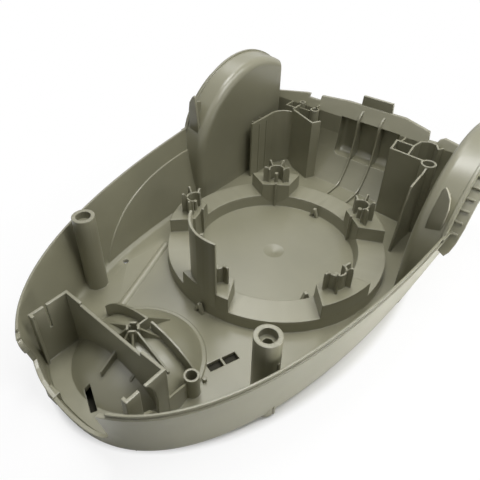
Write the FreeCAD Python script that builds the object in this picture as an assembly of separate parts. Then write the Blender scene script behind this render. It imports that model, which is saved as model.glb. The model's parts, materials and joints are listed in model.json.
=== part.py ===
import FreeCAD, Part
import math
import os

# Lower housing of a floor cleaner, moulded in one piece, all lengths in mm.
# x runs from the nose (minus) to the rear wall (plus), y is plus on the left
# side seen from the rear, z is up. Heights here count from the floor of the
# round motor seat, and the finished part is lifted to stand on z = 0.

V = FreeCAD.Vector
UP = V(0, 0, 1)

# hull
WALL = 2.8
FLOOR = 3.0
NOSE_REACH = 262.0        # widest station to nose at floor level
NOSE_FLARE = 0.18         # growth of that reach for each mm of height
HALF_WIDTH = 112.6        # half width at floor level
SIDE_FLARE = 0.228        # growth of the half width for each mm of height
WIDE_X = 40.0             # station where the hull is widest
NOSE_POWER = 2.52         # roundness of the nose in plan at floor level
POWER_FADE = 0.0018       # loss of that roundness for each mm of height
REAR_X = 163.2            # outer face of the rear wall at the rim
REAR_CORNER = 24.0
BOTTOM_ROUND = 6.5
HULL_TOP = 130.0

# rim
RIM_Z0 = 69.4             # rim height at the origin station
RIM_SLOPE = 0.085
REAR_RIM = 78.5
LIP_HEIGHT = 3.0
LIP_THICK = 1.5
NOSE_GAP = 40.2           # half width of the low part of the nose wall
NOSE_STEP_X = -199.0      # the floor is stepped up in front of this station
NOSE_LOW = 10.0
NOSE_CORNER = 15.0        # rounding of the low part's right corner
NOSE_CORNER_LEFT = 5.0

# motor seat
SEAT_R = 70.0
RING_IN = 72.2
RING_OUT = 94.5
RING_TOP = 10.9
PAD_COUNT = 5
PAD_FIRST = 36.0
PAD_TOP = 24.0
PAD_NARROW = 13.0
PAD_WIDE = 23.5
POST_R = 77.0
POST_TOP = 38.5
FIN_TOP = 43.0
PIN_TOP = 34.0

# caster dome under the nose
DOME_X, DOME_Y = -161.0, 3.0
DOME_BASE = 48.0
DOME_RISE = 25.0
DOME_SKIN = 2.8
NOSE_PAD = 2.6
HUB_TOP = 36.0
HUB_Y = 1.5
HUB_HALF = 4.6
HUB_WALL = 1.6

# bracket over the dome
BRACKET_X = -177.1
BRACKET_HALF = 49.4
BRACKET_TOP = 51.6
BRACKET_REACH = 30.6
BRACKET_WALL = 2.2
RIB_HIGH = 22.0           # rib between the bracket and the small boss, at its two ends
RIB_LOW = 14.0

# wheel arches
ARCH_X, ARCH_Z = 100.0, 37.0
ARCH_FACE = 103.0
ARCH_EDGE = 127.3
ARCH_R_FACE = 83.0
ARCH_R_EDGE = 85.4
ARCH_REAR = 142.0
ARCH_REAR_EDGE = 155.0
ARCH_ROUND = 8.0
SKIRT_R = 78.5
SKIRT_REACH = 8.0
SKIRT_THICK = 2.5
SKIRT_FOOT = 50.0
BEAD_WIDE = 2.4           # rounded bead on the outer edge of an arch
BEAD_HIGH = 1.0
RUNG_STEP = 6.3           # degrees between the short ribs of a skirt
RUNG_COUNT = 12

# screw bosses
BOSS_X, BOSS_Y = -130.7, 87.5
BOSS_R = 8.9
BOSS_TOP = 70.0


def box(x0, x1, y0, y1, z0, z1):
    """Upright box between two corners."""
    return Part.makeBox(x1 - x0, y1 - y0, z1 - z0, V(x0, y0, z0))


def rod(x, y, r, z0, z1, r_top=None):
    """Upright round body, tapered when a second radius is given."""
    if r_top is None:
        return Part.makeCylinder(r, z1 - z0, V(x, y, z0), UP)
    return Part.makeCone(r, r_top, z1 - z0, V(x, y, z0), UP)


def plate(points, thickness, normal):
    """Flat plate from a closed outline, grown both ways from its plane."""
    wire = Part.makePolygon(points + [points[0]])
    shift = normal * (thickness / 2)
    wire.translate(shift * -1)
    return Part.Face(wire).extrude(shift * 2)


def upright(path, thickness, z0, z1):
    """Thin upright wall that follows straight pieces in plan."""
    parts = []
    for (ax, ay), (bx, by) in zip(path, path[1:]):
        run = math.hypot(bx - ax, by - ay)
        piece = box(-thickness / 2, run + thickness / 2, -thickness / 2, thickness / 2, z0, z1)
        piece.rotate(V(0, 0, 0), UP, math.degrees(math.atan2(by - ay, bx - ax)))
        piece.translate(V(ax, ay, 0))
        parts.append(piece)
    return parts


def bent_wall(start, middle, end, thickness, z0, z1):
    """Thin upright wall that follows an arc through three points in plan."""
    arc = Part.Arc(V(start[0], start[1], z0), V(middle[0], middle[1], z0), V(end[0], end[1], z0))
    circle = arc.toShape().Curve
    centre, radius = circle.Center, circle.Radius
    low, high = radius - thickness / 2, radius + thickness / 2

    def at(point, r):
        away = V(point[0], point[1], z0) - centre
        return centre + away * (r / away.Length)

    outer = Part.Arc(at(start, high), at(middle, high), at(end, high)).toShape()
    inner = Part.Arc(at(end, low), at(middle, low), at(start, low)).toShape()
    a = Part.makeLine(outer.Vertexes[-1].Point, inner.Vertexes[0].Point)
    b = Part.makeLine(inner.Vertexes[-1].Point, outer.Vertexes[0].Point)
    return Part.Face(Part.Wire([outer, a, inner, b])).extrude(V(0, 0, z1 - z0))


def hull_outline(level, inset):
    """Plan outline of the hull at one height, drawn in by a wall thickness."""
    reach = NOSE_REACH + NOSE_FLARE * level - inset
    half = HALF_WIDTH + SIDE_FLARE * level - inset
    rear = REAR_X - inset
    corner = REAR_CORNER - inset
    power = 2 / (NOSE_POWER - POWER_FADE * level)
    count = 14
    points = []
    for i in range(-count, count + 1):
        turn = math.pi / 2 * abs(i) / count
        x = WIDE_X - reach * math.cos(turn) ** power
        y = math.copysign(half * math.sin(turn) ** power, i)
        points.append(V(x, y, level))
    points[0] = V(WIDE_X, -half, level)
    points[-1] = V(WIDE_X, half, level)
    nose = Part.BSplineCurve()
    nose.interpolate(Points=points, InitialTangent=V(-1, 0, 0), FinalTangent=V(1, 0, 0))
    turn_x, turn_y = rear - corner, half - corner
    diag = corner * math.sqrt(0.5)
    edges = [nose.toShape()]
    edges.append(Part.makeLine(V(WIDE_X, half, level), V(turn_x, half, level)))
    edges.append(Part.Arc(V(turn_x, half, level), V(turn_x + diag, turn_y + diag, level),
                          V(rear, turn_y, level)).toShape())
    edges.append(Part.makeLine(V(rear, turn_y, level), V(rear, -turn_y, level)))
    edges.append(Part.Arc(V(rear, -turn_y, level), V(turn_x + diag, -turn_y - diag, level),
                          V(turn_x, -half, level)).toShape())
    edges.append(Part.makeLine(V(turn_x, -half, level), V(WIDE_X, -half, level)))
    return Part.Wire(edges)


def hull_body(bottom, top, inset):
    """Flared solid between two heights of the hull outline."""
    return Part.makeLoft([hull_outline(bottom, inset), hull_outline(top, inset)], True, True)


def side_profile(points, reach=150.0):
    """Body of a closed x and z outline that spans the whole width."""
    wire = Part.makePolygon([V(x, -reach, z) for x, z in points + [points[0]]])
    return Part.Face(wire).extrude(V(0, 2 * reach, 0))


def rear_sweep(step):
    """Everything in front of the rear wall, whose foot is curved."""
    foot, knee, shoulder = 129.0 + step, 151.5 + step, 152.5 + step
    base = -step
    first = V(foot - 0.35 * step, -150, base)
    arc = Part.Arc(first, V(143.5 + 0.85 * step, -150, 20), V(knee, -150, 46)).toShape()
    path = [V(knee, -150, 46), V(shoulder, -150, 64), V(160.4 + step, -150, 79),
            V(166 + step, -150, 100), V(-300, -150, 100), V(-300, -150, base), first]
    lines = [Part.makeLine(a, b) for a, b in zip(path, path[1:])]
    return Part.Face(Part.Wire([arc] + lines)).extrude(V(0, 300, 0))


def rim_height(x):
    return RIM_Z0 + RIM_SLOPE * x


def above_rim(drop):
    """Everything higher than the sloping rim less a drop."""
    level = (REAR_RIM - RIM_Z0) / RIM_SLOPE
    return side_profile([(-300, rim_height(-300) - drop), (level, REAR_RIM - drop),
                         (300, REAR_RIM - drop), (300, 160), (-300, 160)])


def rear_crown():
    """Everything higher than the rear wall, whose top falls to both sides and has a step on the right."""
    right = [(-150, 62), (-114, 66), (-81.4, 70.7), (-71, 72.2), (-67, 70), (-66, 67.3), (-58, 67), (-56, 73.8),
             (-30, REAR_RIM)]
    left = [(30, REAR_RIM), (80, 75), (114, 69.5), (150, 65)]
    line = right + left + [(150, 160), (-150, 160)]
    wire = Part.makePolygon([V(128, y, z) for y, z in line + [line[0]]])
    return Part.Face(wire).extrude(V(60, 0, 0))


def lowest_edges(body, level, reach):
    """Edges that lie flat at one height and are no farther out than the reach."""
    return [e for e in body.Edges
            if abs(e.BoundBox.ZMax - level) < 0.01 and abs(e.BoundBox.ZMin - level) < 0.01
            and e.BoundBox.XMin < reach]


def shell():
    """The tub: flared hull with its floor, wall, curved rear foot and rim."""
    outer = hull_body(-FLOOR, HULL_TOP, 0.0)
    outer = outer.makeFillet(BOTTOM_ROUND + WALL, lowest_edges(outer, -FLOOR, 500))
    outer = outer.common(rear_sweep(WALL))
    pocket = box(140, 162.4, -34.3, 34.3, 22, 68).common(hull_body(-FLOOR, HULL_TOP, 0.0))
    outer = outer.fuse(pocket)
    inner = hull_body(0.0, HULL_TOP + 1, WALL)
    inner = inner.makeFillet(BOTTOM_ROUND, lowest_edges(inner, 0.0, 500))
    inner = inner.common(rear_sweep(0.0))
    body = outer.cut(inner)
    return body.cut(above_rim(0.0)).cut(rear_crown())


def rear_pocket():
    """Hollow in the middle of the rear wall, rounded at its foot."""
    hollow = box(140, 159.6, -31.5, 31.5, 25, 64.5)
    edges = [e for e in hollow.Edges if abs(e.BoundBox.ZMax - 25) < 0.01
             and abs(e.BoundBox.XMin - 159.6) < 0.01]
    hollow = hollow.makeFillet(7.5, edges)
    corners = [e for e in hollow.Edges if e.BoundBox.XLength > 5 and e.BoundBox.ZMax < 25.1
               and e.BoundBox.YLength < 0.01]
    return hollow.makeFillet(5.0, corners) if corners else hollow


def rim_ledge():
    """Waste outside the thin upper lip in front of the arches."""
    ring = hull_body(30, 100, -2.0).cut(hull_body(-FLOOR, HULL_TOP, WALL - LIP_THICK))
    front = box(-260, ARCH_X - ARCH_R_FACE, -150, 150, 30, 120)
    return ring.common(above_rim(LIP_HEIGHT)).common(front)


def nose_opening():
    """Waste of the low middle part of the nose wall."""
    low = box(-260, -206, -NOSE_GAP, NOSE_GAP, NOSE_LOW, 120)
    for radius, y in ((NOSE_CORNER, -NOSE_GAP), (NOSE_CORNER_LEFT, NOSE_GAP)):
        edges = lowest_edges(low, NOSE_LOW, 0)
        low = low.makeFillet(radius, [e for e in edges if abs(e.BoundBox.YMin - y) + abs(e.BoundBox.YMax - y) < 0.1])
    lip = box(-260, -206, -NOSE_GAP - 4.5, NOSE_GAP + 4.5, 0, 120).common(above_rim(LIP_HEIGHT))
    return low.fuse(lip)


def nose_step():
    """Waste under the nose, where the floor is stepped up."""
    level = NOSE_PAD - FLOOR
    return side_profile([(NOSE_STEP_X, -20), (NOSE_STEP_X, level), (-226, level + 1.8), (-260, level + 4),
                         (-260, -20)])


def arch_outline(y, r, rear, foot):
    """Upright outline of a wheel arch at one distance from the middle."""
    left = ARCH_X - r
    end = math.acos((rear - ARCH_X) / r)
    tip = V(rear, y, ARCH_Z + r * math.sin(end))
    mid = (math.pi + end) / 2
    arc = Part.Arc(V(left, y, ARCH_Z), V(ARCH_X + r * math.cos(mid), y, ARCH_Z + r * math.sin(mid)), tip)
    corners = [tip, V(rear, y, foot), V(left, y, foot), V(left, y, ARCH_Z)]
    lines = [Part.makeLine(a, b) for a, b in zip(corners, corners[1:])]
    return Part.Wire([arc.toShape()] + lines)


def arch_body(side, inner, outer, foot):
    """Solid D shape between two planes of the same side, each given by y, radius and rear end."""
    outlines = [arch_outline(side * y, r, rear, foot) for y, r, rear in (inner, outer)]
    return Part.makeLoft(outlines, True, True)


def wheel_arch(side):
    """Rounded outside of one wheel arch with its outer ring and skirt."""
    body = arch_body(side, (ARCH_FACE, ARCH_R_FACE, ARCH_REAR), (ARCH_EDGE, ARCH_R_EDGE, ARCH_REAR_EDGE), -FLOOR)
    face = side * ARCH_FACE
    edges = [e for e in body.Edges if abs(e.BoundBox.YMin - face) < 0.01
             and abs(e.BoundBox.YMax - face) < 0.01 and e.BoundBox.ZMax > ARCH_Z + 1
             and e.BoundBox.XMin < ARCH_REAR - 1]
    body = body.makeFillet(ARCH_ROUND, edges).common(hull_body(-FLOOR, HULL_TOP, 0.0))
    return [body, arch_bead(side), arch_skirt(side)]


def arch_bead(side):
    """Raised bead along the outer edge of an arch, over the rim."""
    r, rear = ARCH_R_EDGE + BEAD_HIGH, ARCH_REAR_EDGE - 2
    start, end = ARCH_EDGE - BEAD_WIDE, ARCH_EDGE - 0.2
    band = arch_body(side, (start, r, rear), (end, r, rear), 0)
    core = arch_body(side, (start - 1, r - 2.4, rear - 3), (end + 1, r - 2.4, rear - 3), -5)
    y0, y1 = sorted((side * 110, side * 140))
    return band.cut(core).common(box(0, 200, y0, y1, 70, 140)).common(hull_body(-FLOOR, HULL_TOP, 0.0))


def arch_skirt(side):
    """Thin round skirt that stands out from each arch over the wheel."""
    start, end = ARCH_EDGE - 3.3, ARCH_EDGE + SKIRT_REACH
    r, core_r, rear = SKIRT_R, SKIRT_R - SKIRT_THICK, ARCH_REAR + 1
    skirt = arch_body(side, (start, r, rear), (end, r, rear), 0)
    core = arch_body(side, (start - 1, core_r, rear - SKIRT_THICK), (end + 1, core_r, rear - SKIRT_THICK), -5)
    foot = [(start, SKIRT_FOOT + 6), (end - 5.3, SKIRT_FOOT + 3), (end - 2.8, SKIRT_FOOT + 7),
            (end - 1.0, SKIRT_FOOT + 14), (end + 0.1, SKIRT_FOOT + 26), (end + 0.1, 140), (start, 140)]
    return skirt.cut(core).common(plate([V(0, side * y, z) for y, z in foot], 400, V(1, 0, 0)))


def wheel_well(side):
    """Hollow of one wheel arch, open below."""
    room = arch_body(side, (ARCH_FACE + WALL, ARCH_R_FACE - WALL, ARCH_REAR - WALL),
                     (ARCH_EDGE - 2, ARCH_R_EDGE - WALL, ARCH_REAR_EDGE - WALL - 3), -10)
    return [room.common(hull_body(-12, HULL_TOP, WALL))]


def skirt_rungs(side):
    """Short ribs along the skirt outside each arch."""
    rungs = []
    for i in range(RUNG_COUNT):
        angle = 154.8 - i * RUNG_STEP
        rung = box(SKIRT_R - 1, SKIRT_R + 2.2, ARCH_EDGE - 0.5, ARCH_EDGE + SKIRT_REACH - 2.3, -0.7, 0.7)
        rung.rotate(V(0, 0, 0), V(0, -1, 0), angle)
        rung.translate(V(ARCH_X, 0, ARCH_Z))
        rungs.append(rung if side > 0 else rung.mirror(V(0, 0, 0), V(0, 1, 0)))
    return rungs


def arch_hood(side):
    """Thin upright tongue with a pointed top in front of each arch, and its gusset."""
    line = [(22.5, 60), (23, 77), (23, 100), (23.6, 107), (25.2, 107), (25.8, 78), (30, 60)]
    front = [(112, 60), (112, 77), (113.6, 92), (115.4, 104.4), (116.6, 106), (118.6, 104), (121.8, 98.6),
             (123.2, 90), (122.8, 80), (122, 60)]
    wire = Part.makePolygon([V(20, side * y, z) for y, z in front + [front[0]]])
    tongue = side_profile(line).common(Part.Face(wire).extrude(V(30, 0, 0)))
    gusset = plate([V(24, side * 118, 76), V(24, side * 118, 99), V(34, side * 118, 97), V(34, side * 118, 76)],
                   1.6, V(0, 1, 0))
    return [tongue, gusset]


def seat_ring():
    """Raised ring around the motor seat."""
    ring = rod(0, 0, RING_OUT + 0.6, -FLOOR, RING_TOP, RING_OUT)
    return ring.cut(rod(0, 0, SEAT_R, 0, RING_TOP + 1, RING_IN + 0.2))


def pad_outline(level, grow):
    """Wedge outline of a pad, widening away from the seat."""
    low, high = SEAT_R + 1.2 - grow, RING_OUT - 0.4 + grow
    near, far = PAD_NARROW + grow, PAD_WIDE + grow
    side_x = math.sqrt(high ** 2 - far ** 2)
    a, b = V(low, -near, level), V(side_x, -far, level)
    c, d = V(side_x, far, level), V(low, near, level)
    arc = Part.Arc(b, V(high, 0, level), c).toShape()
    return Part.Wire([Part.makeLine(a, b), arc, Part.makeLine(c, d), Part.makeLine(d, a)])


def turned(shape, angle):
    shape.rotate(V(0, 0, 0), UP, angle)
    return shape


def pad_angles():
    return [PAD_FIRST + 360.0 / PAD_COUNT * i for i in range(PAD_COUNT)]


def pad(angle):
    """Wedge pad that carries one post."""
    body = Part.makeLoft([pad_outline(-FLOOR, 0.7), pad_outline(PAD_TOP, 0.0)], True, True)
    return turned(body, angle)


def pad_hollow(angle):
    """Room under a pad, so that its walls keep an even thickness."""
    body = Part.makeLoft([pad_outline(-FLOOR - 1, -2.4), pad_outline(PAD_TOP - 2.8, -3.2)], True, True)
    return turned(body, angle)


def ring_hollow():
    outer = rod(0, 0, RING_OUT - 2.4, -FLOOR - 1, RING_TOP - 2.8)
    return outer.cut(rod(0, 0, RING_IN + 2.8, -FLOOR - 2, RING_TOP))


def post(angle):
    """Spring post: centre pin, open arc wall, four fins and a rib down the seat wall."""
    r_in, r_out = 6.4, 8.0
    base = PAD_TOP - 0.5
    parts = [rod(POST_R, 0, 1.8, base, PIN_TOP)]
    tube = rod(POST_R, 0, r_out, base, POST_TOP).cut(rod(POST_R, 0, r_in, base - 1, POST_TOP + 1))
    tube = tube.cut(box(POST_R - 20, POST_R - 1.5, -20, 20, base - 1, POST_TOP + 1))
    parts.append(tube)
    for turn, reach, top in ((-86, 12.5, 40.0), (-36, 12.2, FIN_TOP), (36, 12.2, FIN_TOP), (86, 12.5, 40.0)):
        fin = plate([V(r_in + 0.2, 0, base), V(reach, 0, base), V(reach, 0, POST_TOP - 2),
                     V(reach - 0.4, 0, top), V(reach - 2.4, 0, top), V(r_in + 0.2, 0, POST_TOP)], 1.6, V(0, 1, 0))
        fin.rotate(V(0, 0, 0), UP, turn)
        fin.translate(V(POST_R, 0, 0))
        parts.append(fin)
    parts.append(box(SEAT_R - 1.4, POST_R - 6, -0.8, 0.8, -0.5, PAD_TOP + 3))
    return [turned(p, angle) for p in parts]


def snap_hook(radius, angle):
    """Small forked hook on a plinth that stands at the seat edge."""
    fork = plate([V(0, -4.0, 0.5), V(0, -2.2, 0.5), V(0, 0, 5.6), V(0, 2.2, 0.5), V(0, 4.0, 0.5), V(0, 1.2, 9.0),
                  V(0, -1.2, 9.0)], 3.2, V(1, 0, 0))
    plinth = box(-1.6, 1.6, -4.0, 4.0, -0.5, 0.9)
    for piece in (fork, plinth):
        piece.translate(V(radius, 0, 0))
    return [turned(fork, angle), turned(plinth, angle)]


def shield():
    """Tall curved screen on the outer side of the pad that faces the nose."""
    z0, z1 = RING_TOP - 1, 73.0
    return [bent_wall((-92.6, -13.0), (-93.4, -4.0), (-92.6, 5.0), 2.0, z0, z1),
            bent_wall((-92.6, 5.0), (-86.6, 17.2), (-74.5, 27.5), 2.0, z0, z1),
            rod(-92.6, 5.0, 1.0, z0, z1)]


def screw_boss(side):
    """Tall boss for a long screw, with a counterbore and ribs to the wall."""
    y = side * BOSS_Y
    return [rod(BOSS_X, y, BOSS_R, -0.5, BOSS_TOP),
            box(BOSS_X - 0.9, BOSS_X + 0.9, min(y, side * 97), max(y, side * 97), -0.5, 52)]


def screw_bore(side):
    y = side * BOSS_Y
    return [rod(BOSS_X, y, 3.0, 8, BOSS_TOP + 1), rod(BOSS_X, y, 5.8, BOSS_TOP - 6, BOSS_TOP + 1)]


def small_boss():
    return rod(-154.3, -46.1, 5.5, -0.5, 18.7)


def dome_radius():
    return (DOME_BASE ** 2 + DOME_RISE ** 2) / (2 * DOME_RISE)


def dome_level(r):
    """Height of the dome surface at a distance from its axis."""
    return DOME_RISE - dome_radius() + math.sqrt(dome_radius() ** 2 - r ** 2)


def ball(r, floor_z):
    """Part of a sphere on the dome centre that lies over a level."""
    centre = V(DOME_X, DOME_Y, DOME_RISE - dome_radius())
    body = Part.makeSphere(r, centre)
    return body.common(box(DOME_X - 90, DOME_X + 90, DOME_Y - 90, DOME_Y + 90, floor_z, 90))


def dome():
    """Caster dome with the step around its foot."""
    step = rod(DOME_X, DOME_Y, DOME_BASE + 2.6, -0.5, 1.2, DOME_BASE + 2.0)
    pad = hull_body(-0.5, NOSE_PAD, WALL + 1.4).common(box(-300, BRACKET_X - 1, -110, 110, -1, NOSE_PAD))
    return [ball(dome_radius(), -0.5), step.common(box(BRACKET_X - 1, 0, -90, 90, -1, 5)), pad]


def hub():
    """Square socket of four plates on the dome, with a star of gussets."""
    far, near = HUB_HALF, HUB_HALF - HUB_WALL
    parts = [box(near, far, 0.6 - near, near - 0.6, DOME_RISE - 3, HUB_TOP)]
    parts += [turned(parts[0].copy(), angle) for angle in (90, 180, 270)]
    parts.append(box(-far, far, -far, far, DOME_RISE - 3, DOME_RISE + 2))
    for part in parts:
        turned(part, 45)
    reach = {0: 33, 45: 14, 90: 36, 135: 16, 180: 14, 225: 14, 270: 33, 315: 20}
    for angle, r in reach.items():
        low = dome_level(r)
        shoulder = 13.5 if angle == 0 else HUB_HALF
        web = plate([V(near, 0, DOME_RISE - 4), V(r, 0, low - 1.5), V(r, 0, low + 0.8), V(shoulder, 0, HUB_TOP - 2.0),
                     V(near, 0, HUB_TOP - 2.0)], 1.5, V(0, 1, 0))
        parts.append(turned(web, angle))
    for part in parts:
        part.translate(V(DOME_X, HUB_Y, 0))
    return parts


def dome_arch():
    """Arched rib across the dome behind the hub, with a gap for one gusset."""
    x, rise = DOME_X + 13.5, 9.0
    r = math.sqrt(dome_radius() ** 2 - 13.5 ** 2) + rise
    centre = V(x - 0.9, DOME_Y, DOME_RISE - dome_radius())
    disc = Part.makeCylinder(r, 1.8, centre, V(1, 0, 0))
    disc = disc.cut(Part.makeCylinder(r - rise - 3, 1.8, centre, V(1, 0, 0)))
    disc = disc.common(box(x - 2, x + 2, DOME_Y - 46, DOME_Y + 50, -0.5, 60))
    return disc.cut(box(x - 2, x + 2, HUB_Y - 3.4, HUB_Y + 1.6, DOME_RISE - 1, 60))


def bracket():
    """Three sided bracket around the dome, open to the nose."""
    x0, x1 = BRACKET_X - BRACKET_REACH, BRACKET_X
    h, w = BRACKET_HALF, BRACKET_WALL
    parts = [box(x1 - w, x1, -h, h, -0.5, BRACKET_TOP)]
    for side in (1, -1):
        y0, y1 = sorted((side * h, side * (h - w)))
        parts.append(box(x0, x1, y0, y1, -0.5, BRACKET_TOP))
        y0, y1 = sorted((side * h, side * (h - 5.0)))
        parts.append(box(x0, x0 + w, y0, y1, -0.5, BRACKET_TOP))
    parts.append(plate([V(BRACKET_X - 1, -0.5, 20), V(BRACKET_X - 16, -0.5, 16), V(BRACKET_X - 16, -0.5, 20.5),
                        V(BRACKET_X - 1, -0.5, 30)], 1.6, V(0, 1, 0)))
    parts.append(plate([V(BRACKET_X - 1, -18, 8), V(BRACKET_X - 7, -18, 8), V(BRACKET_X - 6, -18, 17),
                        V(BRACKET_X - 1, -18, 20)], 1.6, V(0, 1, 0)))
    return parts


def bracket_slots():
    """Cut-outs down the arms of the bracket, and the lower middle of its back."""
    x = BRACKET_X - 18.5
    near = side_profile([(x - 2, 60), (x - 2, 27), (x + 4, 24), (x + 9, 16), (x + 9.6, 30), (x + 8.4, 40),
                         (x + 5.3, 47.5), (x + 2.4, 51), (x + 2.4, 60)])
    wire = Part.makePolygon([V(BRACKET_X - 6, y, z) for y, z in
                             ((32, 60), (32, 49.6), (-28.8, 47.4), (-28.8, 60), (32, 60))])
    return [near.common(box(-220, -180, -60, -BRACKET_HALF + 5.5, 0, 60)), Part.Face(wire).extrude(V(8, 0, 0)),
            box(x - 1.0, x + 1.0, BRACKET_HALF - 5.5, 60, 31, 60)]


def floor_slots():
    """Two cut slots in the floor, parted by a thin web."""
    cuts = []
    for a, b in ((-11.8, -0.9), (0.9, 11.8)):
        slot = box(a, b, -3.4, 3.4, -8, 8)
        slot.rotate(V(0, 0, 0), UP, -19)
        slot.translate(V(-122.0, -45.2, 0))
        cuts.append(slot)
    return cuts


def floor_ridge(side):
    """Low rounded bead across the floor beside the seat."""
    (ax, ay), (bx, by) = (-134, side * 52), (-57, side * 80.5)
    run = math.hypot(bx - ax, by - ay)
    bead = Part.makeCylinder(4.2, run, V(ax, ay, -2.6), V(bx - ax, by - ay, 0))
    return bead.common(box(-160, -40, -100, 100, -0.5, 5))


def wall_panel(side):
    """Slightly thicker lower part of the side wall, ending in a curved crease."""
    skin = hull_body(0, HULL_TOP, WALL - 0.3).cut(hull_body(-1, HULL_TOP + 1, WALL + 1.1))
    curve = Part.BSplineCurve()
    curve.interpolate([V(x, 0, z) for x, z in
                       ((-112, -1), (-95, 21), (-71, 36.5), (-46, 45), (-17, 50), (19, 52))])
    down = Part.makeLine(V(19, 0, 52), V(19, 0, -1))
    back = Part.makeLine(V(19, 0, -1), V(-112, 0, -1))
    area = Part.Face(Part.Wire([curve.toShape(), down, back])).extrude(V(0, side * 150, 0))
    return skin.common(area)


def left_channel():
    """Partition in the left rear corner."""
    top = 62.0
    parts = upright([(85, 94.5), (119, 94.5)], 2.0, -0.5, top)
    parts.append(bent_wall((119, 94.5), (129.6, 89.7), (134, 78.5), 2.0, -0.5, top))
    parts += upright([(134, 78.5), (120.5, 46.5)], 2.0, -0.5, top + 3)
    parts += upright([(120.5, 46.5), (128, 42.5)], 2.0, -0.5, top + 3)
    for x in (96, 108):
        parts.append(box(x - 0.7, x + 0.7, 93, 104, -0.5, top - 4))
    return parts


def left_clips():
    """Ribs and a small tube behind the left partition."""
    parts = [rod(146, 60, 4.6, -0.5, 66), rod(150, 78, 3.4, -0.5, 68)]
    parts += upright([(146, 60), (156, 60)], 1.6, -0.5, 68)
    parts += upright([(134, 78.5), (156, 78.5)], 1.6, -0.5, 66)
    parts += upright([(141, 78.5), (141, 92), (156, 92)], 1.5, -0.5, 64)
    parts += upright([(146, 64), (146, 78)], 1.4, -0.5, 63)
    return parts


def right_channel():
    """Partition, box and tube in the right rear corner."""
    top = 70.0
    parts = upright([(114.5, -40.5), (112, -71)], 2.0, -0.5, top)
    parts += upright([(114.5, -40.5), (132, -37.5), (131.5, -54), (115, -56.5)], 1.8, -0.5, top)
    parts.append(rod(110, -77, 6.6, -0.5, top))
    parts.append(plate([V(66, -78, -0.5), V(104, -78, -0.5), V(104, -78, top - 1), V(97, -78, top - 4),
                        V(92, -78, top - 4.5), V(78, -78, top - 7), V(75, -78, 50)], 1.8, V(0, 1, 0)))
    parts += upright([(131.5, -54), (143, -55.5), (147.5, -62), (146, -69), (139.5, -73)], 1.8, -0.5, top)
    parts += upright([(132, -37.5), (156, -37.5)], 1.6, -0.5, top - 6)
    parts += upright([(146, -69), (158, -76)], 1.6, -0.5, top - 5)
    return parts


def channel_bores():
    return [rod(110, -77, 4.8, 12, 90), rod(146, 60, 3.0, 10, 90), rod(150, 78, 2.0, 20, 90)]


def wall_rib(y):
    """Thin rib that climbs from the floor over the rear wall."""
    curve = Part.BSplineCurve()
    curve.interpolate([V(x, y, z) for x, z in ((122, 2.4), (129.5, 5.0), (139.4, 17), (144.8, 28),
                                               (148.2, 42), (149.3, 56), (150.0, 66.5), (159.0, 74.5))])
    path = [V(159.0, y, 74.5), V(161.5, y, 74.5), V(161.0, y, 20), V(134, y, -1), V(104, y, -1), V(104.6, y, 2.4),
            V(122, y, 2.4)]
    lines = [Part.makeLine(a, b) for a, b in zip(path, path[1:])]
    face = Part.Face(Part.Wire([curve.toShape()] + lines))
    face.translate(V(0, -0.9, 0))
    return face.extrude(V(0, 1.8, 0)).common(hull_body(-1, HULL_TOP, 1.0))


def rear_tab():
    """Upright tab in the middle of the rear rim."""
    line = [(-16.8, 70), (16.8, 70), (15.6, 88.2), (-15.6, 88.2)]
    wire = Part.makePolygon([V(160.6, y, z) for y, z in line + [line[0]]])
    return Part.Face(wire).extrude(V(2.6, 0, 0))


def rim_notches():
    """Step in the rear rim on the left."""
    return [box(150, 170, 61, 75, 71.8, 100)]


def drill_holes():
    """Small openings in the floor, the dome and the far wall."""
    slot = box(-2.2, 2.2, -8.5, 8.5, -6, 14)
    slot.rotate(V(0, 0, 0), UP, -25)
    slot.translate(V(-205.5, -2.0, 0))
    return [rod(-97.4, 90.0, 2.6, -8, 6), rod(-154.3, -46.1, 3.8, 2, 30), slot]


def dimple():
    """Shallow round hollow in the middle of the motor seat."""
    return rod(0, 0, 1.2, -1.4, 0.2, 10.5)


def foot_rib():
    """Sloping rib from the bracket's foot to the small boss."""
    rib = plate([V(0, 0, -0.5), V(22, 0, -0.5), V(22, 0, RIB_LOW), V(0, 0, RIB_HIGH)], 1.6, V(0, 1, 0))
    rib.rotate(V(0, 0, 0), UP, math.degrees(math.atan2(BRACKET_HALF - 46.1, 22)))
    rib.translate(V(BRACKET_X - 1, -BRACKET_HALF + 0.6, 0))
    return rib


def small_marks():
    """Nubs and low ribs on the floor and the nose wall."""
    parts = [rod(-142.5, -46.5, 1.6, -0.5, 3), rod(105.5, 4.5, 1.4, -0.5, 2.6)]
    parts.append(foot_rib())
    parts.append(box(-222, -217.2, 14, 24, -0.5, NOSE_LOW + 1.2))
    return parts


def additions():
    parts = [seat_ring()]
    for angle in pad_angles():
        parts.append(pad(angle))
        parts += post(angle)
    for radius, angle in ((67.0, 1), (66.5, 120), (65.0, 239), (97.8, 180)):
        parts += snap_hook(radius, angle)
    parts += shield()
    for side in (1, -1):
        parts += screw_boss(side)
        parts += wheel_arch(side)
        parts += skirt_rungs(side)
        parts += arch_hood(side)
        parts.append(wall_panel(side))
    parts += [floor_ridge(1), small_boss(), dome_arch(), rear_tab(), wall_rib(11.8), wall_rib(-11.0)]
    return parts + dome() + hub() + bracket() + left_channel() + left_clips() + right_channel() + small_marks()


def removals():
    parts = [ring_hollow(), ball(dome_radius() - DOME_SKIN, -FLOOR - 1), dimple()]
    parts += [pad_hollow(angle) for angle in pad_angles()]
    for side in (1, -1):
        parts += screw_bore(side)
        parts += wheel_well(side)
    return parts + bracket_slots() + floor_slots() + channel_bores() + rim_notches() + drill_holes()


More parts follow.
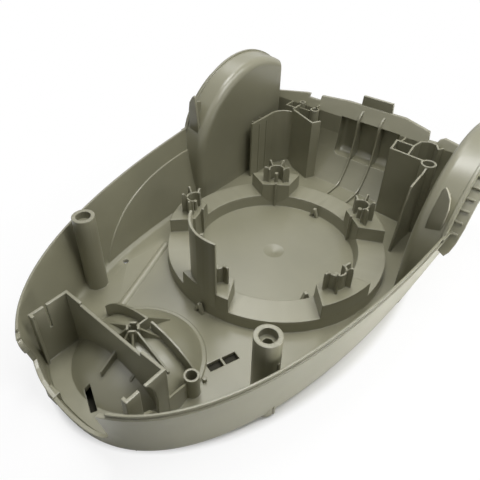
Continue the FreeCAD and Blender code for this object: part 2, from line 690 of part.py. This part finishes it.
def housing():
    """The whole moulding as one solid."""
    body = shell().cut(rear_pocket()).cut(rim_ledge())
    body = body.multiFuse(additions())
    body = body.cut(nose_opening()).cut(nose_step())
    body = body.cut(Part.makeCompound(removals()))
    return body


os.makedirs("parts", exist_ok=True)
shape = housing()
shape.translate(V(0, 0, FLOOR))
shape.exportStep("parts/lower_housing.step")
print("solids", len(shape.Solids), "faces", len(shape.Faces), "valid", shape.isValid())
print("volume", round(shape.Volume / 1000, 1), "cm3", shape.BoundBox)
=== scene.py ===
"""Looks of the lower housing of a floor cleaner, moulded in one piece from olive grey plastic."""

import json
import logging
import math
from dataclasses import dataclass
from enum import Enum

import bmesh
import bpy
from mathutils import Matrix, Vector

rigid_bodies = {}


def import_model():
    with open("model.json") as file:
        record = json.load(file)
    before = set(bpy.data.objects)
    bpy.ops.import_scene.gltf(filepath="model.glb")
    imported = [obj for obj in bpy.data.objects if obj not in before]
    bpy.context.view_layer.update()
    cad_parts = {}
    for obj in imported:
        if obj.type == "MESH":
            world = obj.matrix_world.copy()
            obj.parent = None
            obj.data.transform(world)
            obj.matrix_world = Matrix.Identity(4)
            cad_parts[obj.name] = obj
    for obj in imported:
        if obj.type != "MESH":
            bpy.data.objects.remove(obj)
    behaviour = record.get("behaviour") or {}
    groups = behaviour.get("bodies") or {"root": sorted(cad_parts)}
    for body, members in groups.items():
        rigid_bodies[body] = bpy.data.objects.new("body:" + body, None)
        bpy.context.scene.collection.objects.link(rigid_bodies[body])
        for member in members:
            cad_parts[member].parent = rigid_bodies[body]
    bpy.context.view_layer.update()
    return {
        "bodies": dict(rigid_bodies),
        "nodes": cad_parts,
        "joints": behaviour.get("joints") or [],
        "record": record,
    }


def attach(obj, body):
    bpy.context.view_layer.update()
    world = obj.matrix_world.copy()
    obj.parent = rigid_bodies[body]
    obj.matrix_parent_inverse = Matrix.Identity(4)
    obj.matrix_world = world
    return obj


LOG = logging.getLogger("housing")

Colour = tuple[float, float, float, float]
Point = tuple[float, float, float]
Spot = tuple[float, float]
Range = tuple[float, float]
Socket = bpy.types.NodeSocket

WHITE: Colour = (1.0, 1.0, 1.0, 1.0)
HOUSING_MIDDLE: Point = (0.0, 0.0, 0.02)


class Ray(Enum):
    """Kinds of ray that see the white background."""

    CAMERA = "Is Camera Ray"
    GLOSSY = "Is Glossy Ray"
    TRANSMISSION = "Is Transmission Ray"


class Step(Enum):
    """Steps of arithmetic on values and places."""

    SUM = "ADD"
    PRODUCT = "MULTIPLY"
    LARGER = "MAXIMUM"
    SHIFT = "SUBTRACT"
    SHARE = "DIVIDE"


@dataclass(frozen=True)
class Pattern:
    """A noise pattern: its features for each metre, its octaves and the weight of the finer ones."""

    scale: float
    detail: float
    rough: float


@dataclass(frozen=True)
class Relief:
    """How strongly a pattern raises the surface, and by how much in metres."""

    strength: float
    height: float


class NodeBench:
    """Places and links the nodes of one material or world."""

    def __init__(self, tree: bpy.types.NodeTree) -> None:
        """Keeps the tree and empties it."""
        self.tree = tree
        self.tree.nodes.clear()

    def add(self, kind: str, **settings: object) -> bpy.types.Node:
        """Adds one node.

        Args:
            kind: Blender's name of the node type.
            settings: Properties that are set on the node.

        Returns:
            The new node.
        """
        node = self.tree.nodes.new(kind)
        for name, value in settings.items():
            setattr(node, name, value)
        return node

    def link(self, source: Socket, target: Socket) -> None:
        """Joins two sockets."""
        self.tree.links.new(source, target)

    def place(self) -> Socket:
        """Returns the coordinates of the object itself."""
        return self.add("ShaderNodeTexCoord").outputs["Object"]

    def feed(self, slot: Socket, value: object) -> None:
        """Gives an input a link or a plain value.

        Args:
            slot: Input socket.
            value: Socket, number or colour.
        """
        if isinstance(value, Socket):
            self.link(value, slot)
        else:
            slot.default_value = value

    def noise(self, where: Socket, pattern: Pattern) -> Socket:
        """Adds a noise pattern.

        Args:
            where: Coordinates of the pattern.
            pattern: Its scale and octaves.

        Returns:
            The pattern's value socket.
        """
        node = self.add("ShaderNodeTexNoise")
        node.inputs["Scale"].default_value = pattern.scale
        node.inputs["Detail"].default_value = pattern.detail
        node.inputs["Roughness"].default_value = pattern.rough
        self.link(where, node.inputs["Vector"])
        return node.outputs["Fac"]

    def remap(self, value: Socket, old: Range, new: Range) -> Socket:
        """Maps one range of values on another and clamps it.

        Args:
            value: Value to map.
            old: Range that the value comes in.
            new: Range that it is given.

        Returns:
            The mapped value socket.
        """
        node = self.add("ShaderNodeMapRange")
        node.inputs["From Min"].default_value = old[0]
        node.inputs["From Max"].default_value = old[1]
        node.inputs["To Min"].default_value = new[0]
        node.inputs["To Max"].default_value = new[1]
        self.link(value, node.inputs["Value"])
        return node.outputs["Result"]

    def maths(self, step: Step, first: Socket, second: Socket) -> Socket:
        """Adds one step of arithmetic on two values.

        Args:
            step: What is done.
            first: First value.
            second: Second value.

        Returns:
            The result socket.
        """
        node = self.add("ShaderNodeMath", operation=step.value)
        self.link(first, node.inputs[0])
        self.link(second, node.inputs[1])
        return node.outputs["Value"]

    def move(self, step: Step, place: Socket, amount: Point) -> Socket:
        """Shifts or divides a place.

        Args:
            step: What is done.
            place: The place.
            amount: What it is shifted or divided by.

        Returns:
            The new place's socket.
        """
        node = self.add("ShaderNodeVectorMath", operation=step.value)
        self.link(place, node.inputs[0])
        node.inputs[1].default_value = amount
        return node.outputs["Vector"]

    def distance(self, place: Socket) -> Socket:
        """Measures how far a place lies from the origin.

        Args:
            place: The place.

        Returns:
            The distance as a value socket.
        """
        node = self.add("ShaderNodeVectorMath", operation="LENGTH")
        self.link(place, node.inputs[0])
        return node.outputs["Value"]

    def blend(self, factor: Socket, first: object, second: object) -> Socket:
        """Mixes two colours.

        Args:
            factor: Share of the second colour.
            first: Colour or colour socket.
            second: Colour or colour socket.

        Returns:
            The mixed colour socket.
        """
        node = self.add("ShaderNodeMix", data_type="RGBA", clamp_factor=True)
        slots = [slot for slot in node.inputs if slot.type == "RGBA"]
        self.link(factor, node.inputs["Factor"])
        self.feed(slots[0], first)
        self.feed(slots[1], second)
        return next(slot for slot in node.outputs if slot.type == "RGBA")

    def relief(self, height: Socket, normal: Socket, amount: Relief) -> Socket:
        """Raises the surface by a pattern.

        Args:
            height: The pattern.
            normal: Normal of the surface under it.
            amount: How much it is raised.

        Returns:
            The new normal socket.
        """
        node = self.add("ShaderNodeBump")
        node.inputs["Strength"].default_value = amount.strength
        node.inputs["Distance"].default_value = amount.height
        self.link(height, node.inputs["Height"])
        self.link(normal, node.inputs["Normal"])
        return node.outputs["Normal"]

    def mix_shaders(self, share: Socket, first: Socket, second: Socket) -> Socket:
        """Mixes two shaders.

        Args:
            share: Share of the second shader.
            first: First shader.
            second: Second shader.

        Returns:
            The mixed shader socket.
        """
        node = self.add("ShaderNodeMixShader")
        self.link(share, node.inputs["Fac"])
        self.link(first, node.inputs[1])
        self.link(second, node.inputs[2])
        return node.outputs["Shader"]

    def surface(self, kind: str, shader: Socket) -> None:
        """Ends the tree in an output node of the given kind."""
        self.link(shader, self.add(kind).inputs["Surface"])


@dataclass(frozen=True)
class MouldedPlastic:
    """Satin olive grey plastic with a fine eroded skin, flow marks, dust and paler edges that are partly
    rubbed wear and partly a painted highlight.
    """

    body: Colour = (0.230, 0.221, 0.151, 1.0)
    shade: Colour = (0.205, 0.198, 0.135, 1.0)
    dust: Colour = (0.275, 0.265, 0.196, 1.0)
    # edge is the pale colour of convex edges: partly rubbed wear, partly a painted highlight
    edge: Colour = (0.330, 0.318, 0.238, 1.0)
    bend: float = 1.5
    shine: float = 0.6
    gloss: Range = (0.28, 0.34)
    rounding: float = 0.0011
    rounding_rays: int = 6
    cloud: Pattern = Pattern(16.0, 3.0, 0.55)
    cloud_range: Range = (0.35, 0.68)
    dirt: Pattern = Pattern(60.0, 2.0, 0.5)
    dirt_range: Range = (0.55, 0.80)
    dirt_most: float = 0.15
    wear_and_painted_highlight_range: Range = (0.53, 0.62)
    wear_and_painted_highlight_most: float = 0.7
    flow: Pattern = Pattern(16.0, 1.0, 0.4)
    flow_range: Range = (0.2, 0.8)
    grain: Pattern = Pattern(5200.0, 2.0, 0.5)
    grain_relief: Relief = Relief(0.06, 0.00008)
    sink: Pattern = Pattern(34.0, 2.0, 0.4)
    sink_relief: Relief = Relief(0.03, 0.0012)

    def material(self, name: str) -> bpy.types.Material:
        """Builds the plastic.

        Args:
            name: Name of the material.

        Returns:
            The finished material.
        """
        made = bpy.data.materials.new(name)
        made.use_nodes = True
        bench = NodeBench(made.node_tree)
        where = bench.place()
        shader = bench.add("ShaderNodeBsdfPrincipled")
        shader.inputs["IOR"].default_value = self.bend
        shader.inputs["Specular IOR Level"].default_value = self.shine
        bench.link(self.paint(bench, where), shader.inputs["Base Color"])
        bench.link(self.sheen(bench, where), shader.inputs["Roughness"])
        bench.link(self.skin(bench, where), shader.inputs["Normal"])
        bench.surface("ShaderNodeOutputMaterial", shader.outputs["BSDF"])
        return made

    def paint(self, bench: NodeBench, where: Socket) -> Socket:
        """Mixes the plastic's colour: clouds, specks of dust and edges made pale, partly as rubbed wear and
        partly as a painted highlight.

        Args:
            bench: Bench of the material.
            where: Coordinates of the patterns.

        Returns:
            The colour socket.
        """
        cloud = bench.remap(bench.noise(where, self.cloud), self.cloud_range, (0.0, 1.0))
        base = bench.blend(cloud, self.body, self.shade)
        specks = bench.remap(bench.noise(where, self.dirt), self.dirt_range, (0.0, self.dirt_most))
        dusty = bench.blend(specks, base, self.dust)
        # convex edges are painted paler: partly wear, partly a painted highlight along the edges
        point = bench.add("ShaderNodeNewGeometry").outputs["Pointiness"]
        wear_and_painted_highlight = bench.remap(point, self.wear_and_painted_highlight_range, (0.0, self.wear_and_painted_highlight_most))
        return bench.blend(wear_and_painted_highlight, dusty, self.edge)

    def sheen(self, bench: NodeBench, where: Socket) -> Socket:
        """Varies the roughness a little, as handling and flow marks do."""
        return bench.remap(bench.noise(where, self.flow), self.flow_range, self.gloss)

    def skin(self, bench: NodeBench, where: Socket) -> Socket:
        """Gives the surface its soft edges, fine eroded grain and slight sink marks.

        Args:
            bench: Bench of the material.
            where: Coordinates of the patterns.

        Returns:
            The normal socket.
        """
        soft = bench.add("ShaderNodeBevel", samples=self.rounding_rays)
        soft.inputs["Radius"].default_value = self.rounding
        fine = bench.relief(bench.noise(where, self.grain), soft.outputs["Normal"], self.grain_relief)
        return bench.relief(bench.noise(where, self.sink), fine, self.sink_relief)


@dataclass(frozen=True)
class StudioFloor:
    """Pale plain floor that fades into a white background, with painted shade on the paper under the
    housing's slots.
    """

    colour: Colour = (0.86, 0.86, 0.86, 1.0)
    # shade is painted shade: the paper's colour under the slots, painted dark for the shadow beneath the
    # housing
    shade: Colour = (0.044, 0.042, 0.032, 1.0)
    side: float = 14.0
    drop: float = 0.0006
    middle: float = -0.028
    footprint: Spot = (0.192, 0.116)
    outline_range: Range = (0.98, 1.03)
    away_range: Range = (1.1, 2.2)
    beside: float = 0.86
    # middle, size and fade of the oval of painted shade under the slots
    painted_shade_middle: float = -0.135
    painted_shade_footprint: Spot = (0.085, 0.080)
    painted_shade_range: Range = (0.90, 1.0)

    def lay(self) -> None:
        """Lays the floor just under the housing."""
        half = self.side / 2
        sheet = [(-half, -half, 0), (half, -half, 0), (half, half, 0), (-half, half, 0)]
        mesh = bpy.data.meshes.new("studio_floor")
        mesh.from_pydata(sheet, [], [(0, 1, 2, 3)])
        mesh.materials.append(self.material())
        floor = bpy.data.objects.new("studio_floor", mesh)
        floor.location = (0.0, 0.0, -self.drop)
        bpy.context.scene.collection.objects.link(floor)

    def material(self) -> bpy.types.Material:
        """Makes the floor's paper, which is white away from the housing, keeps its shadow and is painted
        nearly black under the slots as painted shade.

        Returns:
            The floor material.
        """
        made = bpy.data.materials.new("studio_paper")
        made.use_nodes = True
        bench = NodeBench(made.node_tree)
        paper = bench.add("ShaderNodeBsdfDiffuse")
        # the paper is painted dark under the slots: painted shade
        bench.link(bench.blend(self.painted_shade_share(bench), self.colour, self.shade), paper.inputs["Color"])
        white = bench.add("ShaderNodeEmission")
        white.inputs["Color"].default_value = WHITE
        seen = bench.add("ShaderNodeLightPath").outputs[Ray.CAMERA.value]
        share = bench.maths(Step.PRODUCT, self.whiteness(bench), seen)
        mixed = bench.mix_shaders(share, paper.outputs["BSDF"], white.outputs["Emission"])
        bench.surface("ShaderNodeOutputMaterial", mixed)
        return made

    def painted_shade_share(self, bench: NodeBench) -> Socket:
        """Returns the share of the painted shade, a dark patch painted on the paper under the slots of the
        nose and the floor.
        """
        reach = self.reach(bench, self.painted_shade_middle, self.painted_shade_footprint)
        return bench.remap(reach, self.painted_shade_range, (1.0, 0.0))

    def whiteness(self, bench: NodeBench) -> Socket:
        """Share of pure white that the camera sees: none under the housing, nearly all beside it.

        Args:
            bench: Bench of the floor material.

        Returns:
            The share as a value socket.
        """
        reach = self.reach(bench, self.middle, self.footprint)
        beside = bench.remap(reach, self.outline_range, (0.0, self.beside))
        away = bench.remap(reach, self.away_range, (0.0, 1.0 - self.beside))
        return bench.maths(Step.SUM, beside, away)

    def reach(self, bench: NodeBench, middle: float, footprint: Spot) -> Socket:
        """Distance from the middle of an oval, one at its outline.

        Args:
            bench: Bench of the floor material.
            middle: Place of the oval's middle on the long axis.
            footprint: Half the oval's length and width.

        Returns:
            The distance as a value socket.
        """
        shifted = bench.move(Step.SHIFT, bench.place(), (middle, 0.0, 0.0))
        return bench.distance(bench.move(Step.SHARE, shifted, (*footprint, 1.0)))


@dataclass(frozen=True)
class SoftLamp:
    """One soft square studio lamp, in metres and watts."""

    name: str
    place: Point
    aim: Point
    watts: float
    side: float

    def hang(self) -> None:
        """Hangs the lamp and turns it to its aim."""
        data = bpy.data.lights.new(self.name, "AREA")
        data.shape = "SQUARE"
        data.size = self.side
        data.energy = self.watts
        lamp = bpy.data.objects.new(self.name, data)
        lamp.location = self.place
        lamp.rotation_mode = "QUATERNION"
        away = Vector(self.place) - Vector(self.aim)
        lamp.rotation_quaternion = away.to_track_quat("Z", "Y")
        bpy.context.scene.collection.objects.link(lamp)


@dataclass(frozen=True)
class Studio:
    """Lamps, world and floor around the housing."""

    sky: float = 0.04
    floor: StudioFloor = StudioFloor()
    lamps: tuple[SoftLamp, ...] = (
        SoftLamp("near_lamp", (0.0, -0.25, 0.65), HOUSING_MIDDLE, 2.1, 0.30),
        SoftLamp("top_lamp", (0.08, 0.18, 1.14), HOUSING_MIDDLE, 5.3, 0.34),
        SoftLamp("rear_lamp", (0.45, -0.45, 0.95), HOUSING_MIDDLE, 2.3, 0.40),
        SoftLamp("far_lamp", (0.45, 0.45, 0.95), HOUSING_MIDDLE, 1.85, 0.40),
        SoftLamp("nose_lamp", (-0.60, 0.0, 0.80), (-0.08, 0.0, 0.02), 0.95, 0.40),
        SoftLamp("side_lamp", (0.15, -0.52, 0.03), (0.04, -0.12, 0.04), 4.2, 0.30),
    )

    def build(self) -> None:
        """Lays the floor, hangs the lamps and sets the world."""
        self.floor.lay()
        for lamp in self.lamps:
            lamp.hang()
            LOG.info("lamp %s", lamp.name)
        self.world()

    def world(self) -> None:
        """Makes a dim even sky that the camera, reflections and clear pieces see as white."""
        world = bpy.data.worlds.new("studio_sky")
        world.use_nodes = True
        bpy.context.scene.world = world
        bench = NodeBench(world.node_tree)
        rays = bench.add("ShaderNodeLightPath").outputs
        seen = bench.maths(Step.LARGER, rays[Ray.CAMERA.value], rays[Ray.TRANSMISSION.value])
        seen = bench.maths(Step.LARGER, seen, rays[Ray.GLOSSY.value])
        mixed = bench.mix_shaders(seen, self.backdrop(bench, self.sky), self.backdrop(bench, 1.0))
        bench.surface("ShaderNodeOutputWorld", mixed)

    def backdrop(self, bench: NodeBench, strength: float) -> Socket:
        """Adds a white background.

        Args:
            bench: Bench of the world.
            strength: How strongly it shines, one being white.

        Returns:
            The shader socket.
        """
        node = bench.add("ShaderNodeBackground")
        node.inputs["Color"].default_value = WHITE
        node.inputs["Strength"].default_value = strength
        return node.outputs["Background"]


@dataclass(frozen=True)
class PhotoCamera:
    """Camera at the photograph's angle, with its place in metres and its turn in degrees."""

    place: Point = (-0.28854, -0.19044, 0.29781)
    heading: float = 43.228
    down: float = 39.346
    roll: float = -1.475
    focal_pixels: float = 499.64
    centre_pixels: Spot = (208.08, 238.96)
    frame_pixels: float = 480.0
    film: float = 36.0
    nearest: float = 0.01
    farthest: float = 40.0

    def mount(self) -> None:
        """Places the camera and makes it the scene's."""
        data = bpy.data.cameras.new("photo_camera")
        data.sensor_width = self.film
        data.lens = self.film * self.focal_pixels / self.frame_pixels
        data.shift_x = (self.frame_pixels / 2 - self.centre_pixels[0]) / self.frame_pixels
        data.shift_y = (self.centre_pixels[1] - self.frame_pixels / 2) / self.frame_pixels
        data.clip_start = self.nearest
        data.clip_end = self.farthest
        camera = bpy.data.objects.new("photo_camera", data)
        camera.matrix_world = self.pose()
        bpy.context.scene.collection.objects.link(camera)
        bpy.context.scene.camera = camera

    def pose(self) -> Matrix:
        """Works out the camera's place and turn.

        Returns:
            The matrix from camera to world.
        """
        yaw, pitch, roll = (math.radians(angle) for angle in (self.heading, self.down, self.roll))
        ahead = Vector((math.cos(pitch) * math.cos(yaw), math.cos(pitch) * math.sin(yaw), -math.sin(pitch)))
        level = Vector((math.sin(yaw), -math.cos(yaw), 0.0))
        above = level.cross(ahead)
        right = math.cos(roll) * level + math.sin(roll) * above
        up = math.cos(roll) * above - math.sin(roll) * level
        turn = Matrix((right, up, -ahead)).transposed().to_4x4()
        return Matrix.Translation(Vector(self.place)) @ turn


@dataclass(frozen=True)
class Housing:
    """The moulded housing and its finish."""

    node: str = "lower_housing"
    plastic: MouldedPlastic = MouldedPlastic()

    def dress(self, frame: dict) -> bpy.types.Material:
        """Gives the moulding its plastic.


        Returns:
            The plastic, for pieces that are moulded on.
        """
        finish = self.plastic.material("moulded_plastic")
        for slot in frame["nodes"][self.node].material_slots:
            slot.material = finish
        LOG.info("dressed %s with %s", self.node, finish.name)
        return finish


@dataclass(frozen=True)
class HullSkin:
    """Outer face of the hull at the nose, a rounded curve that widens with height, in metres."""

    widest_place: float = 0.040
    length: float = 0.262
    length_growth: float = 0.18
    half_width: float = 0.1126
    width_growth: float = 0.228
    roundness: float = 2.52
    roundness_loss: float = 1.8
    floor_lift: float = 0.003
    wall: float = 0.0031
    tuck: float = 0.00008

    def outer(self, y: float, z: float) -> float:
        """Place of the outer face.

        Args:
            y: Distance from the middle plane.
            z: Height above the ground.

        Returns:
            The place along the housing, a hair inside the solid's face.
        """
        height = z - self.floor_lift
        power = self.roundness - self.roundness_loss * height
        share = abs(y) / (self.half_width + self.width_growth * height)
        length = self.length + self.length_growth * height
        return self.widest_place - length * (1.0 - share ** power) ** (1.0 / power) + self.tuck


@dataclass(frozen=True)
class NoseEnd:
    """Raised left end of the low nose wall, and the rounded end of the hull's wall over it."""

    skin: HullSkin = HullSkin()
    foot: float = 0.0127
    shoulder_line: tuple[Spot, ...] = (
        (0.0412, 0.0240),
        (0.0345, 0.0219),
        (0.0240, 0.0208),
        (0.0130, 0.0135),
    )
    shoulder_steps: int = 3
    root: float = 0.0406
    tongue_start: float = 0.0403
    tongue_depth: float = 0.0029
    tongue_middle: float = 0.0425
    tongue_above: float = 0.0061
    tongue_below: float = 0.0073
    tongue_steps: int = 8

    def build(self, finish: bpy.types.Material) -> None:
        """Builds both pieces.

        Args:
            finish: The housing's plastic.
        """
        low = [self.section((y, self.foot), (y, top)) for y, top in self.shoulder()]
        high = [self.section((self.root, z), (y, z)) for y, z in self.tongue()]
        self.piece("nose_wall_shoulder", low, finish)
        self.piece("nose_wall_tongue", high, finish)

    def shoulder(self) -> list[Spot]:
        """Top edge of the raised end, in short steps so that it follows the curved hull.

        Returns:
            Distances from the middle with their heights.
        """
        spots = []
        for (y_from, z_from), (y_to, z_to) in zip(self.shoulder_line, self.shoulder_line[1:]):
            for step in range(self.shoulder_steps):
                share = step / self.shoulder_steps
                spots.append((y_from + (y_to - y_from) * share, z_from + (z_to - z_from) * share))
        return spots + [self.shoulder_line[-1]]

    def tongue(self) -> list[Spot]:
        """Free edge of the rounded end, a half oval that is longer below its middle.

        Returns:
            Distances from the middle with their heights.
        """
        spots = []
        for step in range(self.tongue_steps + 1):
            angle = math.pi * (step / self.tongue_steps - 0.5)
            rise = math.sin(angle)
            height = self.tongue_middle + rise * (self.tongue_above if rise > 0 else self.tongue_below)
            spots.append((self.tongue_start - self.tongue_depth * math.cos(angle), height))
        return spots

    def section(self, near: Spot, far: Spot) -> list[Point]:
        """Four corners of the wall between two places.

        Args:
            near: Distance from the middle and height where the piece starts.
            far: Distance from the middle and height where it ends.

        Returns:
            The corners, outer ones first.
        """
        outer = [(self.skin.outer(*spot), *spot) for spot in (near, far)]
        inner = [(x + self.skin.wall, y, z) for x, y, z in reversed(outer)]
        return outer + inner

    def piece(self, name: str, sections: list[list[Point]], finish: bpy.types.Material) -> None:
        """Lofts one piece through its sections and fixes it to the housing.

        Args:
            name: Name of the piece.
            sections: Rings of four corners each.
            finish: The housing's plastic.
        """
        shape = bmesh.new()
        rings = [[shape.verts.new(corner) for corner in section] for section in sections]
        shape.faces.new(rings[0])
        shape.faces.new(reversed(rings[-1]))
        for ring, following in zip(rings, rings[1:]):
            for i in range(len(ring)):
                j = (i + 1) % len(ring)
                shape.faces.new((ring[i], following[i], following[j], ring[j]))
        bmesh.ops.recalc_face_normals(shape, faces=shape.faces)
        mesh = bpy.data.meshes.new(name)
        shape.to_mesh(mesh)
        shape.free()
        mesh.materials.append(finish)
        piece = bpy.data.objects.new(name, mesh)
        bpy.context.scene.collection.objects.link(piece)
        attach(piece, "root")
        LOG.info("piece %s", name)


def main() -> None:
    """Builds the scene and reports each piece."""
    logging.basicConfig(level=logging.INFO, format="%(name)s: %(message)s")
    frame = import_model()
    bpy.context.scene.view_settings.view_transform = "Standard"
    PhotoCamera().mount()
    LOG.info("camera in place")
    plastic = Housing().dress(frame)
    NoseEnd().build(plastic)
    Studio().build()


if __name__ == "__main__":
    main()
